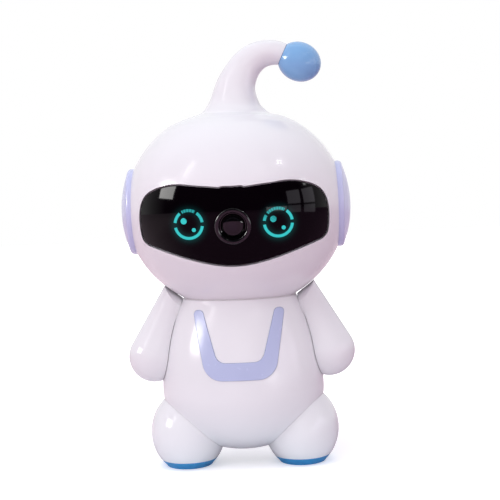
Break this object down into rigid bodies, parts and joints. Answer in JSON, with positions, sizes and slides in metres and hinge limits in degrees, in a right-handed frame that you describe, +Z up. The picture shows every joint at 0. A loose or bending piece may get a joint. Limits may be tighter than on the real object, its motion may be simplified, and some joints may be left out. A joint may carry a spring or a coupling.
{
  "type": "companion robot",
  "caption": "Small desk companion robot with a ball head that turns, a curled antenna, a dark visor with lit eyes, swinging arms and round feet.",
  "frame": {"origin": "centre of the footprint, on the surface the soles stand on", "axes": "+Z up, the face looks along -Y, and the robot's own left is +X"},
  "size_m": [0.1244, 0.1212, 0.2294],
  "materials": {
    "white_shell": "glossy",
    "tip_blue": "glossy",
    "ear_blue": "satin",
    "trim_blue": "glossy",
    "sole_blue": "satin",
    "visor_black": "mirror gloss",
    "lens_glass": "polished",
    "eye_teal": "lit translucent",
    "inner_black": "matte",
    "inner_white": "matte",
    "lamp_white": "glossy",
    "board_green": "satin",
    "nylon": "satin",
    "magnet_steel": "satin",
    "plated_steel": "satin",
    "battery_grey": "satin",
    "button_blue": "satin"
  },
  "bodies": {
    "torso": {"battery_pack": "battery_grey", "battery_tray": "inner_white", "belly_trim": "trim_blue", "button_switches": "inner_black", "charging_port": "plated_steel", "foot_screws": "plated_steel", "left_foot_shell": "white_shell", "left_shoulder_bush": "nylon", "left_sole": "sole_blue", "main_board": "board_green", "main_board_screws": "plated_steel", "neck_bush": "nylon", "power_switch_body": "inner_black", "right_foot_shell": "white_shell", "right_shoulder_bush": "nylon", "right_sole": "sole_blue", "speaker_cone": "inner_black", "speaker_frame": "inner_black", "speaker_magnet": "magnet_steel", "thrust_washer": "nylon", "torso_front_shell": "white_shell", "torso_rear_shell": "white_shell", "torso_shell_screws": "plated_steel"},
    "head": {"head_front_shell": "white_shell", "head_rear_shell": "white_shell", "antenna_ball": "tip_blue", "visor": "visor_black", "left_eye_guide": "eye_teal", "right_eye_guide": "eye_teal", "left_eye_light_box": "inner_black", "right_eye_light_box": "inner_black", "eye_lamps": "lamp_white", "face_board": "board_green", "face_board_screws": "plated_steel", "camera_bezel": "visor_black", "camera_lens": "lens_glass", "camera_module": "inner_black", "left_ear_pad": "ear_blue", "right_ear_pad": "ear_blue", "head_base": "inner_white", "head_base_screws": "plated_steel", "neck_retainer": "inner_white", "neck_retainer_screws": "plated_steel", "head_shell_screws": "plated_steel"},
    "left_arm": {"left_arm_shell": "white_shell", "left_arm_cover": "white_shell", "left_arm_shaft": "plated_steel", "left_arm_washer": "plated_steel", "left_arm_screw": "plated_steel"},
    "right_arm": {"right_arm_shell": "white_shell", "right_arm_cover": "white_shell", "right_arm_shaft": "plated_steel", "right_arm_washer": "plated_steel", "right_arm_screw": "plated_steel"},
    "power_switch": {"power_switch_knob": "inner_black"},
    "volume_down_button": {"volume_down_button": "button_blue"},
    "play_button": {"play_button": "button_blue"},
    "volume_up_button": {"volume_up_button": "button_blue"}
  },
  "joints": [
    {"name": "head_turn", "type": "hinge", "parent": "torso", "child": "head", "pos_m": [0, 0, 0.0913], "axis": [0, 0, 1], "range_deg": [-60, 60]},
    {"name": "left_arm_swing", "type": "hinge", "parent": "torso", "child": "left_arm", "pos_m": [0.0353, 0, 0.0822], "axis": [-1, 0, 0], "range_deg": [0, 90]},
    {"name": "right_arm_swing", "type": "hinge", "parent": "torso", "child": "right_arm", "pos_m": [-0.0353, 0, 0.0822], "axis": [-1, 0, 0], "range_deg": [0, 90]},
    {"name": "power_slide", "type": "slide", "parent": "torso", "child": "power_switch", "axis": [1, 0, 0], "range_m": [0, 0.003]},
    {"name": "volume_down_button_press", "type": "slide", "parent": "torso", "child": "volume_down_button", "axis": [0, -1, 0], "range_m": [0, 0.0007], "stiffness_N_per_m": 300},
    {"name": "play_button_press", "type": "slide", "parent": "torso", "child": "play_button", "axis": [0, -1, 0], "range_m": [0, 0.0007], "stiffness_N_per_m": 300},
    {"name": "volume_up_button_press", "type": "slide", "parent": "torso", "child": "volume_up_button", "axis": [0, -1, 0], "range_m": [0, 0.0007], "stiffness_N_per_m": 300}
  ]
}
